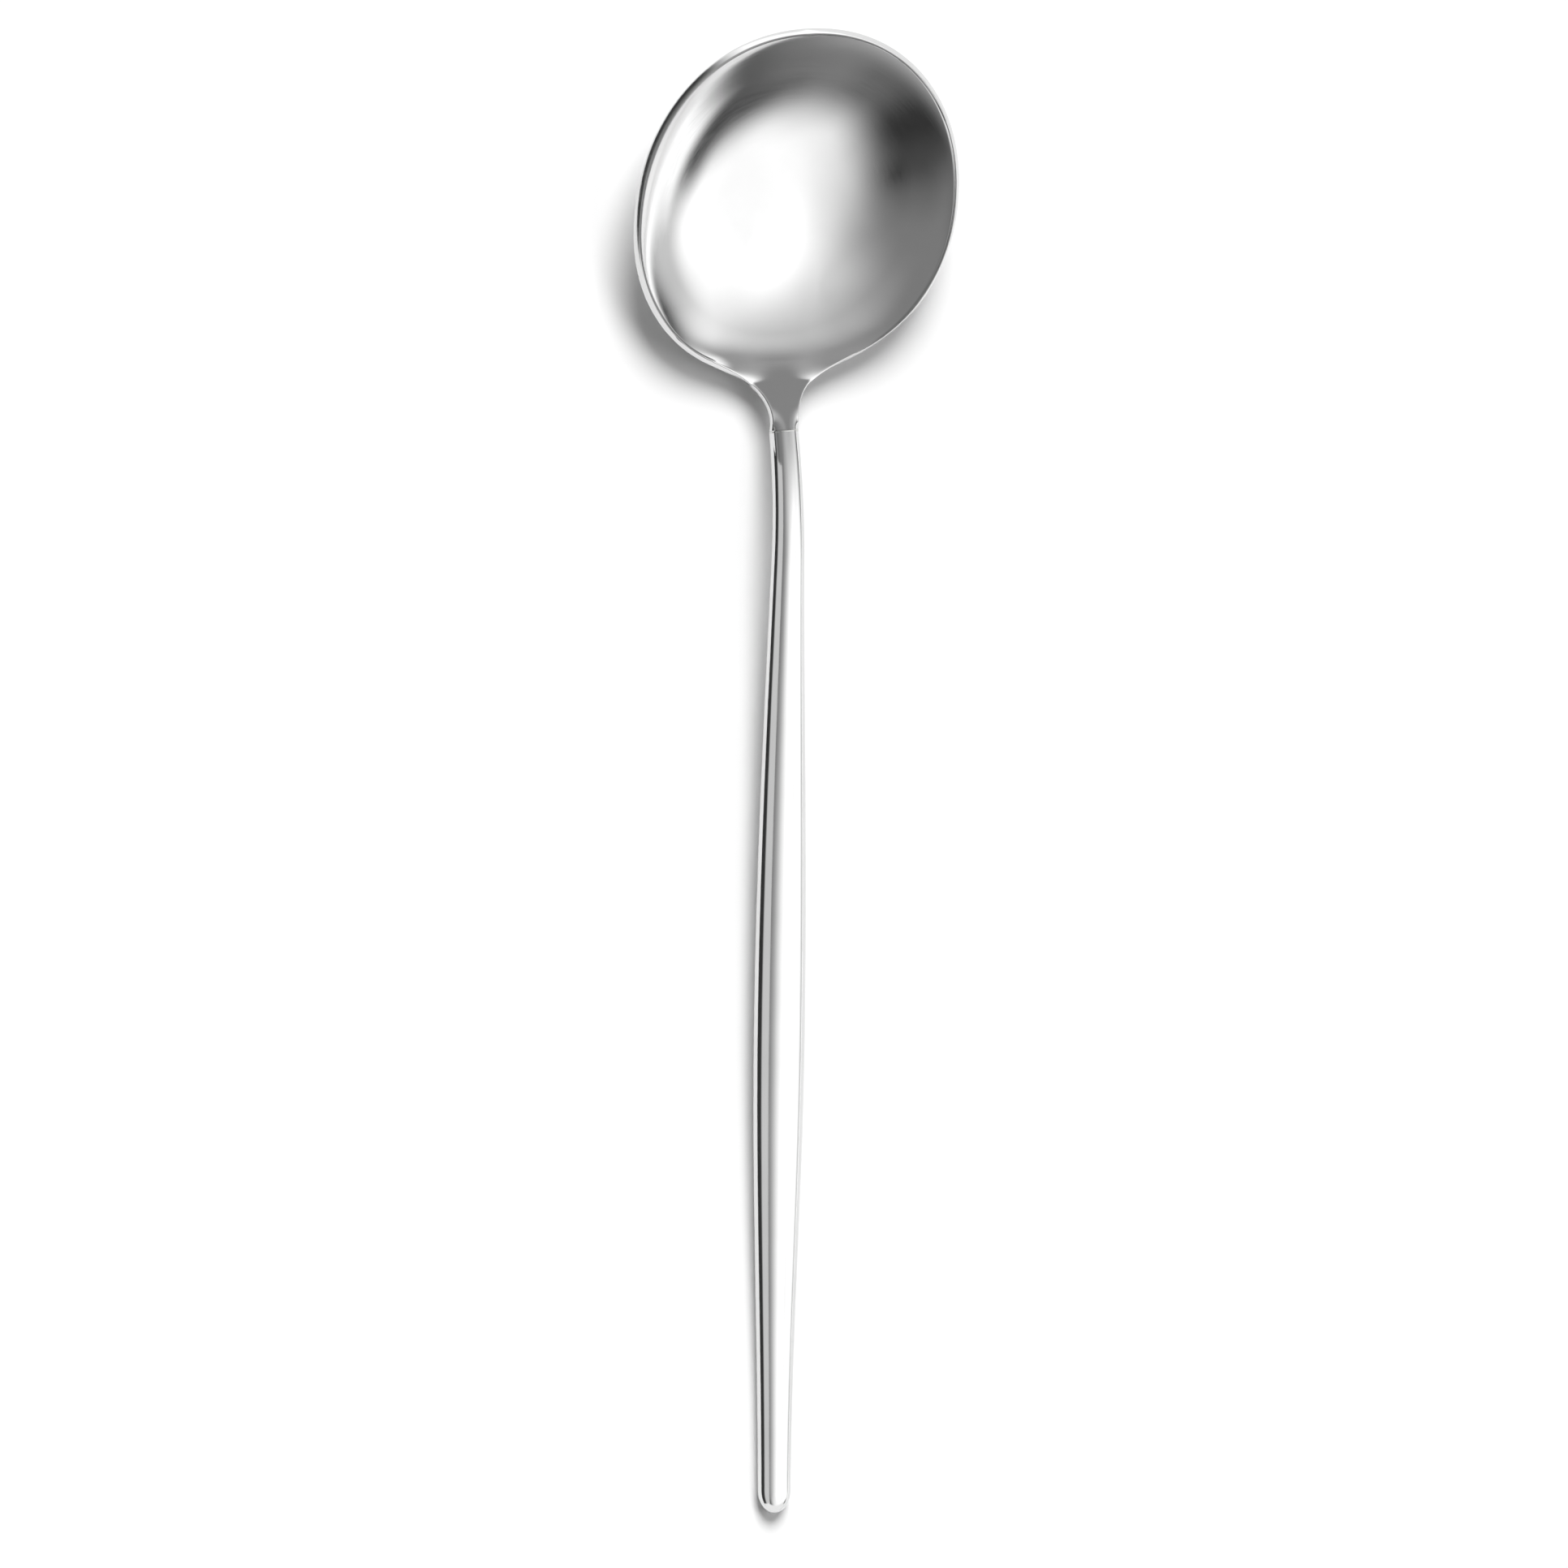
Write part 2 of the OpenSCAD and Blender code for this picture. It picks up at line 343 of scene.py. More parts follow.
@dataclass
class Piece:
    """A piece of the spoon, which rides on its body and stands for its CAD node."""

    form: SpoonForm
    lift: float
    name: str = "piece"
    node: str = "bowl"
    slot: Slot = Slot.STEEL
    sides: int = 64

    def joint_middle(self) -> Vector:
        """Middle of the face of the neck."""
        form = self.form
        top = Vector((0, form.neck_stop(1).place.y, self.lift + form.keel(form.joint_y)))
        return top - form.joint_up * (form.joint_thickness - form.sheet) / 2

    def add_peg(self, width: float, start: float, length: float) -> bpy.types.Object:
        """Adds a round peg on the axis of the joint, to join to a piece or to bore it.

        Args:
            width: Diameter of the peg.
            start: Where it begins along the axis, from the face of the neck.
            length: Length of the peg.

        Returns:
            The peg.
        """
        middle = self.joint_middle() + self.form.joint_axis * (start + length / 2)
        bpy.ops.object.select_all(action="DESELECT")
        bpy.ops.mesh.primitive_cylinder_add(
            vertices=self.sides,
            radius=width / 2,
            depth=length,
            location=middle,
            rotation=(math.pi / 2 - self.form.joint_lean, 0, 0),
        )
        peg = bpy.context.object
        settle(peg)
        return peg

    def add_ring(self, centre: Vector, lean: float, wide: float, thick: float) -> bpy.types.Object:
        """Adds an oval ring of edges that stands across the spoon.

        Args:
            centre: Its middle.
            lean: Angle at which it leans back, in radians.
            wide: Half of its width.
            thick: Half of its thickness.

        Returns:
            The ring.
        """
        turned = (math.pi / 2 - lean, 0, 0)
        bpy.ops.object.select_all(action="DESELECT")
        bpy.ops.mesh.primitive_circle_add(
            vertices=self.sides, radius=1, location=centre, rotation=turned
        )
        ring = bpy.context.object
        ring.scale = (wide, thick, 1)
        settle(ring)
        return ring

    def combine(self, piece: bpy.types.Object, peg: bpy.types.Object, operation: str) -> None:
        """Joins a peg to a piece, or bores the piece with it, and removes the peg.

        Args:
            piece: The piece to change.
            peg: The tool, which is used up.
            operation: UNION or DIFFERENCE.
        """
        cut = piece.modifiers.new("peg", "BOOLEAN")
        cut.operation = operation
        cut.solver = "EXACT"
        cut.object = peg
        apply_modifiers(piece)
        bpy.data.objects.remove(peg)

    def hand_over(self, piece: bpy.types.Object, finish: bpy.types.Material) -> bpy.types.Object:
        """Gives a finished piece its name, finish and place in the frame.

        Args:
            piece: The finished piece.
            finish: Its material.

        Returns:
            The piece.
        """
        settle(piece)
        piece.name = self.name
        piece.data.name = self.name
        piece.data.materials.clear()
        piece.data.materials.append(finish)
        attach(piece, BODY)
        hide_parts(self.node)
        LOG.info("%s: %d faces", self.name, len(piece.data.polygons))
        return piece


@dataclass
class Bowl(Piece):
    """The stamped bowl with its hollow, rounded rim, neck and tang."""

    name: str = "bowl_skin"
    node: str = "bowl"
    front_rows: int = 60
    back_rows: int = 64
    neck_rows: int = 56
    top_steps: int = 88
    rim_steps: int = 14
    edge_crowding: float = 0.7
    rim_power: float = 5.0
    rim_reach: float = 0.68
    groove_depth: float = 0.00018
    groove_width: float = 0.004
    groove_start: float = 0.006
    lip_share: float = 0.8
    slope_step: float = 0.02
    slope_row_step: float = 0.2
    first_slope_row: float = 0.5

    @property
    def rows(self) -> int:
        """Number of rows from the front of the rim to the joint."""
        return self.front_rows + self.back_rows + self.neck_rows

    @property
    def loop_steps(self) -> int:
        """Number of steps round the skin of a row."""
        return 2 * (self.top_steps + self.rim_steps)

    def outline(self, row: float) -> Outline:
        """The stop of the outline at a row, which may lie between two rows."""
        form = self.form
        if row <= self.front_rows:
            return form.oval_stop(math.pi / 2 * (1 - row / self.front_rows), form.bowl_front)
        back_row = row - self.front_rows
        if back_row <= self.back_rows:
            return form.oval_stop(form.leave_turn * back_row / self.back_rows, -form.bowl_back)
        return form.neck_stop((back_row - self.back_rows) / self.neck_rows)

    def sheet_middle(self, row: float, across: float) -> Vector:
        """A point half-way through the sheet, with across from -1 at the left to 1 at the right."""
        form = self.form
        edge = self.outline(row).inside(form.sheet / 2)
        rise = blend(form.keel(edge.y), form.edge_line(edge.y), abs(across) ** form.hollow_power)
        return Vector((across * edge.x, edge.y, self.lift + rise))

    def sheet_up(self, row: float, across: float) -> Vector:
        """Direction out of the sheet on its hollow side."""
        if row >= self.rows:
            return self.form.joint_up
        step, row_step = self.slope_step, self.slope_row_step
        inner = min(max(row, self.first_slope_row), self.rows - row_step)
        right, left = (self.sheet_middle(inner, across + part) for part in (step, -step))
        front, back = (self.sheet_middle(inner + part, across) for part in (-row_step, row_step))
        return (right - left).cross(front - back).normalized()

    def belly(self, share: float) -> float:
        """How deep the belly under the flat top is, at a share of the neck."""
        form = self.form
        soft = (share + math.hypot(share, form.belly_soft_share)) / 2
        return (form.joint_thickness - form.sheet) * min(1, soft)

    def loop_place(self, step: int) -> tuple[float, float]:
        """Place of a step round a row's loop, which starts at the left and crosses the hollow first.

        Args:
            step: The step, from 0 to loop_steps.

        Returns:
            Across, from -1 to 1, and the turn round the rim, from 0 on top to pi underneath.
        """
        top, rim = self.top_steps, self.rim_steps
        if step <= top:
            return self.crowd(2 * step / top - 1), 0.0
        if step <= top + rim:
            return 1.0, math.pi * (step - top) / rim
        if step <= 2 * top + rim:
            return self.crowd(1 - 2 * (step - top - rim) / top), math.pi
        return -1.0, math.pi * (1 - (step - 2 * top - rim) / rim)

    def crowd(self, across: float) -> float:
        """Moves a place across the bowl outwards, so that the steps lie closer near the rim."""
        return blend(across, math.sin(math.pi / 2 * across), self.edge_crowding)

    def square(self, part: float) -> float:
        """Fills out the half-round edge of the rim to a flat edge with soft corners."""
        return math.copysign(abs(part) ** (2 / self.rim_power), part)

    def groove(self, row: float, across: float) -> float:
        """Depth of the faint groove that the buffing of the rim leaves along its inside.

        Args:
            row: The row.
            across: Place across the bowl, from -1 to 1.

        Returns:
            The depth, which fades inwards from the rim and out towards the heel.
        """
        form = self.form
        edge = self.outline(row).inside(form.sheet / 2)
        inwards = 1 - abs(across) ** form.hollow_power
        inwards *= (2 * edge.x / form.bowl_width) ** form.hollow_power
        distance = inwards * form.bowl_width / 2 / form.hollow_power
        fade = 1 - ease(distance / self.groove_width)
        return self.groove_depth * fade * ease((edge.y - form.heel_y) / self.groove_start)

    def skin_point(self, row: float, step: int) -> Vector:
        """A point of the skin. Near the joint the flat top and belly round off into an oval.

        Args:
            row: The row, from 0 at the front of the rim.
            step: The step round the row's loop.

        Returns:
            The point.
        """
        form = self.form
        across, turn = self.loop_place(step)
        side = -1 if across < 0 else 1
        stop = self.outline(row)
        middle = self.sheet_middle(row, across)
        up = self.sheet_up(row, across)
        outward = Vector((side * stop.outward.x, stop.outward.y, 0))
        out = (outward - up * outward.dot(up)).normalized()
        share = (form.heel_y - stop.place.y) / form.neck_length
        belly = self.belly(share)
        under = turn >= math.pi
        deep = belly * max(1 - across * across, 0) ** form.belly_power if under else 0
        reach = self.square(math.sin(turn))
        offset = up * self.square(math.cos(turn)) + out * reach * self.rim_reach
        flat = middle + offset * form.sheet / 2
        flat -= form.joint_up * deep
        if turn < math.pi / 2:
            flat -= up * self.groove(row, across) * max(1 - (reach / self.lip_share) ** 2, 0)
        if turn == 0:
            swing = abs(across) * form.oval_top
        elif under:
            swing = math.pi - abs(across) * form.oval_top
        else:
            swing = blend(form.oval_top, math.pi - form.oval_top, turn / math.pi)
        half = (form.sheet + belly) / 2
        centre = self.sheet_middle(row, 0)
        oval = Vector((side * stop.place.x * math.sin(swing), middle.y, centre.z))
        oval += form.joint_up * (form.sheet / 2 - half * (1 - math.cos(swing)))
        return flat.lerp(oval, min(max(share, 0), 1) ** form.round_power)

    def roll_skin(self) -> bpy.types.Object:
        """Rolls a flat grid into the closed skin of the bowl and neck.

        The hollow is a mirror, in which each uneven face would show, so every point of the grid is
        laid on the curves of the form instead of being pushed there by hand.

        Returns:
            The skin, open at the joint.
        """
        bpy.ops.object.select_all(action="DESELECT")
        bpy.ops.mesh.primitive_grid_add(
            x_subdivisions=self.loop_steps, y_subdivisions=self.rows, size=2
        )
        skin = bpy.context.object
        for vertex in skin.data.vertices:
            step = round((vertex.co.x + 1) / 2 * self.loop_steps)
            row = round((1 - vertex.co.y) / 2 * self.rows)
            vertex.co = self.skin_point(row, step)
        with editing(skin):
            bpy.ops.mesh.select_all(action="SELECT")
            bpy.ops.mesh.remove_doubles(threshold=MERGE_REACH)
            bpy.ops.mesh.dissolve_degenerate(threshold=MERGE_REACH)
        return skin

    def close_joint(self, skin: bpy.types.Object) -> None:
        """Closes the face of the neck and turns every face outwards."""
        with editing(skin):
            bpy.ops.mesh.select_mode(type="EDGE")
            bpy.ops.mesh.select_all(action="DESELECT")
            bpy.ops.mesh.select_non_manifold(
                extend=False,
                use_wire=False,
                use_multi_face=False,
                use_non_contiguous=False,
                use_verts=False,
            )
            bpy.ops.mesh.edge_face_add()
            bpy.ops.mesh.select_all(action="SELECT")
            bpy.ops.mesh.normals_make_consistent(inside=False)

    def wear_flat(self, skin: bpy.types.Object) -> None:
        """Wears the small flat under the bowl, on which the spoon rests."""
        with editing(skin):
            bpy.ops.mesh.select_all(action="SELECT")
            bpy.ops.mesh.bisect(
                plane_co=(0, 0, 0),
                plane_no=(0, 0, 1),
                use_fill=True,
                clear_inner=True,
                threshold=MERGE_REACH,
            )
            bpy.ops.mesh.mark_sharp()

    def build(self, finish: bpy.types.Material) -> bpy.types.Object:
        """Builds the bowl.

        Args:
            finish: Its material.

        Returns:
            The finished piece.
        """
        form = self.form
        skin = self.roll_skin()
        self.close_joint(skin)
        self.wear_flat(skin)
        tang = self.add_peg(form.tang_width, -form.sheet, form.sheet + form.tang_length)
        self.combine(skin, tang, "UNION")
        smooth(skin)
        return self.hand_over(skin, finish)


@dataclass
class Handle(Piece):
    """The solid forged bar, with a rounded tip and a bore for the tang."""

    name: str = "handle_bar"
    node: str = "handle"
    tip_rings: int = 12
    bar_rings: int = 72

    @property
    def end(self) -> Vector:
        """Middle of the handle's face at the joint."""
        return self.joint_middle() + self.form.joint_axis * self.form.solder

    @property
    def reach(self) -> float:
        """Length of the handle from its tip to its face."""
        return self.end.y + self.form.length / 2

    def half_width(self, length: float) -> float:
        """Half of the handle's width at a distance from the tip."""
        form = self.form
        return form.swell(form.tip_width, form.grip_width, form.joint_width, length, self.reach) / 2

    def half_thickness(self, length: float) -> float:
        """Half of the handle's thickness at a distance from the tip."""
        form = self.form
        measures = (form.tip_thickness, form.grip_thickness, form.joint_thickness)
        return form.swell(*measures, length, self.reach) / 2

    def height(self, length: float) -> float:
        """Height of the middle of the bar: a low arch that bends down to the joint.

        Args:
            length: Distance from the tip.

        Returns:
            The height over the table.
        """
        form = self.form
        end_under = self.end.z - form.joint_thickness / 2
        fall = math.tan(form.joint_lean) * form.bend / 2
        arch = (end_under + fall) / (1 - form.arch_power * form.bend / self.reach / 2)
        bend_share = max(length - self.reach + form.bend, 0) / form.bend
        rise = arch * (max(length, 0) / self.reach) ** form.arch_power
        under = rise - (arch - end_under) * bend_share**2
        return under + self.half_thickness(length)

    def lean(self, length: float) -> float:
        """Angle at which the bar's section leans back, in radians."""
        if length >= self.reach:
            return self.form.joint_lean
        return math.atan((self.height(length - PROBE) - self.height(length + PROBE)) / (2 * PROBE))

    def stations(self) -> list[tuple[float, float]]:
        """Stations of the rings, from the tip to the joint.

        Returns:
            The distance of each ring from the tip, and how full it is: 1 except on the rounded tip.
        """
        turns = [math.pi / 2 * k / self.tip_rings for k in range(1, self.tip_rings + 1)]
        tip = [(self.form.tip_round * (1 - math.cos(turn)), math.sin(turn)) for turn in turns]
        shares = [k / self.bar_rings for k in range(1, self.bar_rings + 1)]
        return tip + [(blend(self.form.tip_round, self.reach, share), 1.0) for share in shares]

    def section(self, length: float, full: float) -> tuple[Vector, float, float, float]:
        """The bar's section at a station.

        Args:
            length: Distance from the tip.
            full: How full the section is.

        Returns:
            Its middle, the angle at which it leans back, and half of its width and thickness.
        """
        centre = Vector((0, length - self.form.length / 2, self.height(length)))
        wide, thick = full * self.half_width(length), full * self.half_thickness(length)
        return centre, self.lean(length), wide, thick

    def draw_bar(self) -> bpy.types.Object:
        """Draws the bar out of one ring, extruded, resized and turned from station to station.

        Returns:
            The bar, open at both ends.
        """
        first, *others = [self.section(length, full) for length, full in self.stations()]
        centre, lean, wide, thick = first
        bar = self.add_ring(centre, lean, wide, thick)
        with editing(bar):
            bpy.ops.mesh.select_all(action="SELECT")
            for to, to_lean, to_wide, to_thick in others:
                bpy.ops.mesh.extrude_edges_move(TRANSFORM_OT_translate={"value": to - centre})
                grow = (to_wide / wide, to_thick / thick, to_thick / thick)
                bpy.ops.transform.resize(value=grow, center_override=to)
                turn = to_lean - lean
                if abs(turn) > LEAST_TURN:
                    bpy.ops.transform.rotate(value=turn, orient_axis="X", center_override=to)
                centre, lean, wide, thick = to, to_lean, to_wide, to_thick
        return bar

    def close_ends(self, bar: bpy.types.Object) -> None:
        """Draws the tip together and closes the face at the joint."""
        first = self.stations()[0][0]
        to_tip = Vector((0, -first, self.height(0) - self.height(first)))
        with editing(bar) as mesh:
            bpy.ops.mesh.select_mode(type="EDGE")
            for at_tip in (True, False):
                bpy.ops.mesh.select_all(action="DESELECT")
                for edge in mesh.edges:
                    middle = (edge.verts[0].co + edge.verts[1].co) / 2
                    if edge.is_boundary and (middle.y < 0) == at_tip:
                        edge.select_set(True)
                if at_tip:
                    bpy.ops.mesh.extrude_edges_move(TRANSFORM_OT_translate={"value": to_tip})
                    bpy.ops.mesh.merge(type="CENTER")
                else:
                    bpy.ops.mesh.edge_face_add()
            bpy.ops.mesh.select_all(action="SELECT")
            bpy.ops.mesh.normals_make_consistent(inside=False)

    def build(self, finish: bpy.types.Material) -> bpy.types.Object:
        """Builds the handle.

        Args:
            finish: Its material.

        Returns:
            The finished piece.
        """
        form = self.form
        bar = self.draw_bar()
        self.close_ends(bar)
        bore = form.tang_width + 2 * form.tang_gap
        depth = form.sheet + form.tang_length + form.tang_end_gap
        self.combine(bar, self.add_peg(bore, -form.sheet, depth), "DIFFERENCE")
        smooth(bar)
        return self.hand_over(bar, finish)


@dataclass
class SolderSeam(Piece):
    """The layer of silver solder between the neck and the handle, round the tang."""

    name: str = "solder_line"
    node: str = "solder_seam"
    slot: Slot = Slot.SOLDER
    soft_edge: float = 0.00004
    soft_steps: int = 2

    def build(self, finish: bpy.types.Material) -> bpy.types.Object:
        """Builds the seam from an outer and an inner ring, bridged and extruded.

        Args:
            finish: Its material.

        Returns:
            The finished piece.
        """
        form = self.form
        middle = self.joint_middle()
        bore = form.tang_width / 2 + form.tang_gap
        ovals = ((form.joint_width / 2, form.joint_thickness / 2), (bore, bore))
        rings = [self.add_ring(middle, form.joint_lean, wide, thick) for wide, thick in ovals]
        for ring in rings:
            ring.select_set(True)
        bpy.ops.object.join()
        seam = bpy.context.object
        with editing(seam):
            bpy.ops.mesh.select_all(action="SELECT")
            bpy.ops.mesh.bridge_edge_loops()
            bpy.ops.mesh.select_all(action="SELECT")
            through = form.joint_axis * form.solder
            bpy.ops.mesh.extrude_region_move(TRANSFORM_OT_translate={"value": through})
            bpy.ops.mesh.select_all(action="SELECT")
            bpy.ops.mesh.normals_make_consistent(inside=False)
        soft = seam.modifiers.new("soft_edges", "BEVEL")
        soft.width = self.soft_edge
        soft.segments = self.soft_steps
        soft.limit_method = "ANGLE"
        apply_modifiers(seam)
        smooth(seam)
        return self.hand_over(seam, finish)


class Graph:
    """Adds nodes to one tree and joins their sockets."""

    def __init__(self, tree: bpy.types.NodeTree) -> None:
        """Empties the tree.

        Args:
            tree: The tree of a material or of the world.
        """
        self.tree = tree
        self.tree.nodes.clear()

    def add(
        self, kind: str, feeds: dict[str | int, object] | None = None, **settings: object
    ) -> bpy.types.Node:
        """Adds a node.

        Args:
            kind: Its kind.
            feeds: What its sockets get, by name or number: a node's output or a plain value.
            settings: Its settings.

        Returns:
            The node.
        """
        node = self.tree.nodes.new(kind)
        for name, value in settings.items():
            setattr(node, name, value)
        for key, value in (feeds or {}).items():
            if isinstance(value, bpy.types.NodeSocket):
                self.tree.links.new(value, node.inputs[key])
            else:
                node.inputs[key].default_value = value
        return node

    def math(self, operation: str, *values: object) -> bpy.types.NodeSocket:
        """The result of a Math node for up to three values."""
        return self.add("ShaderNodeMath", dict(enumerate(values)), operation=operation).outputs[0]

    def noise(self, place: bpy.types.NodeSocket, size: float, detail: float) -> bpy.types.NodeSocket:
        """Noise in patches of a size, with a number of finer layers."""
        feeds = {"Vector": place, "Scale": 1 / size, "Detail": detail}
        return self.add("ShaderNodeTexNoise", feeds).outputs[0]

    def ramp(
        self, value: object, low: float, high: float, out_low: float, out_high: float
    ) -> bpy.types.NodeSocket:
        """A value carried softly from one range to another, and held at its ends.

        Args:
            value: The value or socket to carry.
            low: Start of the first range.
            high: End of the first range.
            out_low: What low becomes.
            out_high: What high becomes.

        Returns:
            The socket with the result.
        """
        feeds = dict(enumerate((value, low, high, out_low, out_high)))
        return self.add("ShaderNodeMapRange", feeds, interpolation_type="SMOOTHSTEP").outputs[0]

    def mix(self, share: object, first: object, second: object) -> bpy.types.NodeSocket:
        """A number between two others, by a share."""
        feeds = {0: share, 2: first, 3: second}
        return self.add("ShaderNodeMix", feeds, data_type="FLOAT").outputs[0]

    def show(self, surface: bpy.types.NodeSocket, kind: str = "ShaderNodeOutputMaterial") -> None:
        """Ends the tree with an output node of a kind, which shows a surface."""
        self.add(kind, {"Surface": surface})


def new_material(name: str) -> tuple[bpy.types.Material, Graph]:
    """Adds a material whose nodes are still to be made.

    Args:
        name: Its name.

    Returns:
        The material and its empty tree of nodes.
    """
    material = bpy.data.materials.new(name)
    material.use_nodes = True
    return material, Graph(material.node_tree)


@dataclass(frozen=True)
class BuffedMetal:
    """A buffed metal: nearly a mirror, with hair-fine buffing marks and a faint haze of handling."""

    name: str
    colour: tuple[float, float, float]
    buffing: Buffing
    roughness: float = 0.11
    rough_spread: float = 0.035
    colour_spread: float = 0.03
    mark_width: float = 0.00018
    mark_height: float = 0.0000012
    mark_strength: float = 0.5
    mark_detail: float = 3.0
    mark_stretch: float = 0.02
    mark_turn: float = 0.0004
    haze_size: float = 0.014
    haze_detail: float = 4.0
    haze_share: float = 0.4
    rough_range: tuple[float, float] = (0.25, 0.75)
    tint_range: tuple[float, float] = (0.3, 0.7)
    bowl_centre: tuple[float, float, float] = (0.0, 0.0736, 0.0)

    def stretch(self, graph: Graph, place: bpy.types.NodeSocket) -> bpy.types.NodeSocket:
        """Stretches coordinates along the buffing, so that noise in them makes fine marks.

        Args:
            graph: The material's nodes.
            place: The object's own coordinates.

        Returns:
            The socket with the stretched coordinates.
        """
        if self.buffing is Buffing.LENGTHWISE:
            feeds = {"Vector": place, "Scale": (1, self.mark_stretch, 1)}
            return graph.add("ShaderNodeMapping", feeds).outputs[0]
        feeds = {0: place, 1: self.bowl_centre}
        centred = graph.add("ShaderNodeVectorMath", feeds, operation="SUBTRACT").outputs[0]
        parts = graph.add("ShaderNodeSeparateXYZ", {0: centred}).outputs
        distance = graph.add("ShaderNodeVectorMath", {0: centred}, operation="LENGTH")
        turn = graph.math("MULTIPLY", graph.math("ARCTAN2", parts[1], parts[0]), self.mark_turn)
        feeds = {0: distance.outputs["Value"], 1: turn, 2: parts[2]}
        return graph.add("ShaderNodeCombineXYZ", feeds).outputs[0]

    def build(self) -> bpy.types.Material:
        """Builds the material.

        Returns:
            The material, made of procedural nodes.
        """
        material, graph = new_material(self.name)
        place = graph.add("ShaderNodeTexCoord").outputs["Object"]
        marks = graph.noise(self.stretch(graph, place), self.mark_width, self.mark_detail)
        haze = graph.noise(place, self.haze_size, self.haze_detail)
        uneven = graph.mix(self.haze_share, marks, haze)
        low, high = self.roughness - self.rough_spread, self.roughness + self.rough_spread
        shares = (1 - self.colour_spread, 1 + self.colour_spread)
        darker, lighter = ((*[part * share for part in self.colour], 1) for share in shares)
        tint = {0: graph.ramp(haze, *self.tint_range, 0, 1), 6: darker, 7: lighter}
        bump = {"Strength": self.mark_strength, "Distance": self.mark_height, "Height": marks}
        surface = {
            "Metallic": 1.0,
            "Base Color": graph.add("ShaderNodeMix", tint, data_type="RGBA").outputs[2],
            "Roughness": graph.ramp(uneven, *self.rough_range, low, high),
            "Normal": graph.add("ShaderNodeBump", bump).outputs[0],
        }
        graph.show(graph.add("ShaderNodeBsdfPrincipled", surface).outputs[0])
        return material


def direction(azimuth: float, elevation: float) -> Vector:
    """The direction at an azimuth from +Y towards +X and an elevation over the table, in degrees."""
    turn, rise = math.radians(azimuth), math.radians(elevation)
    level = math.cos(rise)
    return Vector((math.sin(turn) * level, math.cos(turn) * level, math.sin(rise)))


@dataclass(frozen=True)
class Light:
    """A light or a dark flag of the studio, at a direction from the spoon, in degrees."""

    name: str
    azimuth: float
    elevation: float
    level: float


@dataclass(frozen=True)
class Disc(Light):
    """A round light, full up to its inner radius and gone at its outer one.

    With an inner radius under zero it stays a little short of full in its middle.
    """

    inner: float
    outer: float

    def share(self, graph: Graph, towards: bpy.types.NodeSocket) -> bpy.types.NodeSocket:
        """How much of the light is seen in a direction.

        Args:
            graph: The world's nodes.
            towards: The direction.

        Returns:
            The socket with the share, from 0 to 1.
        """
        feeds = {0: towards, 1: direction(self.azimuth, self.elevation)}
        along = graph.add("ShaderNodeVectorMath", feeds, operation="DOT_PRODUCT")
        angle = graph.math("ARCCOSINE", along.outputs["Value"])
        return graph.ramp(angle, math.radians(self.inner), math.radians(self.outer), 1.0, 0.0)


@dataclass(frozen=True)
class Band(Light):
    """A light with straight sides, which fades over its soft width and height."""

    half_width: float
    half_height: float
    soft_width: float
    soft_height: float

    def window(self, graph: Graph, value: object, half: float, soft: float) -> bpy.types.NodeSocket:
        """A soft window of half a width round zero, in degrees, for a value in radians."""
        near, far = math.radians(half - soft / 2), math.radians(half + soft / 2)
        return graph.ramp(graph.math("ABSOLUTE", value), near, far, 1.0, 0.0)

    def share(self, graph: Graph, towards: bpy.types.NodeSocket) -> bpy.types.NodeSocket:
        """How much of the light is seen in a direction.

        Args:
            graph: The world's nodes.
            towards: The direction.

        Returns:
            The socket with the share, from 0 to 1.
        """
        parts = graph.add("ShaderNodeSeparateXYZ", {0: towards}).outputs
        aside = graph.math("ARCTAN2", parts[0], parts[1])
        aside = graph.math("SUBTRACT", aside, math.radians(self.azimuth))
        aside = graph.math("WRAP", aside, math.pi, -math.pi)
        above = graph.math("ARCSINE", parts[2])
        above = graph.math("SUBTRACT", above, math.radians(self.elevation))
        across = self.window(graph, aside, self.half_width, self.soft_width)
        upright = self.window(graph, above, self.half_height, self.soft_height)
        return graph.math("MULTIPLY", across, upright)


@dataclass(frozen=True)
class Lamp:
    """A broad lamp: where it hangs and how wide it looks, in degrees, and its strength."""

    name: str
    azimuth: float
    elevation: float
    spread: float
    strength: float


